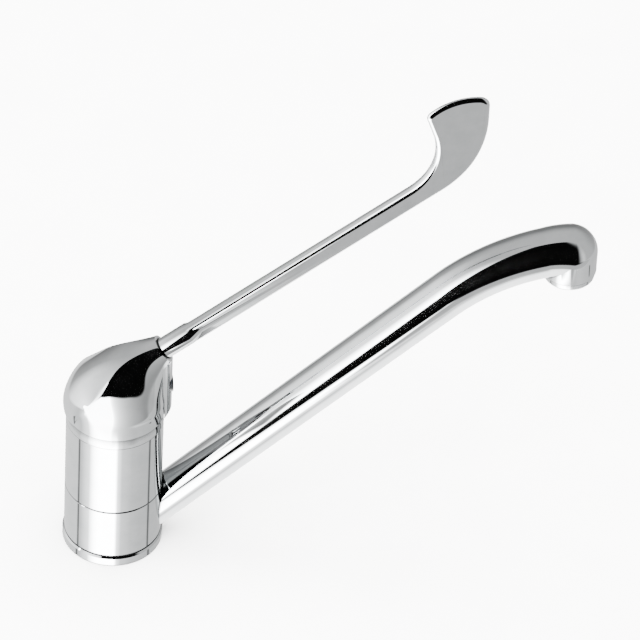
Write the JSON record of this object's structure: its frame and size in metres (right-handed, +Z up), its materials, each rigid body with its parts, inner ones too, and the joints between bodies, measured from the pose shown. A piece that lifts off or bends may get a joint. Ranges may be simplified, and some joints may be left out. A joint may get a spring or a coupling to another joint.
{
  "type": "lever faucet",
  "caption": "Chrome single-lever sink mixer with a long elbow lever ending in an upright paddle, a low swivel spout rising to a downturned nozzle, and a ceramic disc cartridge.",
  "frame": {"origin": "centre of the barrel on the deck plane", "axes": "+Z up along the barrel, +X towards the spout outlet and the closed lever, +Y to the left of the user's view from the back"},
  "size_m": [0.2652, 0.0506, 0.2758],
  "materials": {
    "chrome": "bright chrome plating on brass",
    "black_plastic": "moulded acetal",
    "rubber": "moulded",
    "ceramic": "lapped",
    "white_plastic": "moulded acetal",
    "brass": "turned",
    "steel": "turned stainless",
    "plug": "moulded"
  },
  "bodies": {
    "body": {"base_ring": "chrome", "base_gasket": "rubber", "mixer_body": "chrome", "lower_slip_ring": "black_plastic", "upper_slip_ring": "black_plastic", "lower_spout_seal": "rubber", "upper_spout_seal": "rubber", "cartridge_base": "white_plastic", "port_seals": "rubber", "disc_seal": "rubber", "fixed_disc": "ceramic", "cartridge_housing": "white_plastic", "cartridge_nut": "brass", "trim_ring": "chrome"},
    "spout": {"spout": "chrome", "aerator_housing": "chrome", "aerator_gasket": "rubber", "aerator_insert": "white_plastic", "aerator_screen": "steel"},
    "rotor": {"rotor": "white_plastic", "rotor_seal": "rubber", "pivot_pin": "steel"},
    "slider": {"disc_carrier": "white_plastic", "moving_disc": "ceramic"},
    "handle": {"spindle": "brass", "handle_dome": "chrome", "lever": "chrome", "lever_grub_screw": "steel", "handle_set_screw": "steel", "indicator_plug": "plug"}
  },
  "joints": [
    {"name": "spout_swivel", "type": "hinge", "parent": "body", "child": "spout", "pos_m": [0, 0, 0.0208], "axis": [0, 0, 1], "continuous": true},
    {"name": "handle_turn", "type": "hinge", "parent": "body", "child": "rotor", "pos_m": [0, 0, 0.07393], "axis": [0, 0, 1], "range_deg": [-50, 50]},
    {"name": "handle_lift", "type": "hinge", "parent": "rotor", "child": "handle", "pos_m": [0, 0, 0.07393], "axis": [0, -1, 0], "range_deg": [0, 25]},
    {"name": "disc_slide", "type": "slide", "parent": "rotor", "child": "slider", "axis": [1, 0, 0], "range_m": [0, 0.0048]}
  ],
  "couplings": [
    {"joint": "disc_slide", "follows": "handle_lift", "m_per_rad": 0.010848}
  ]
}
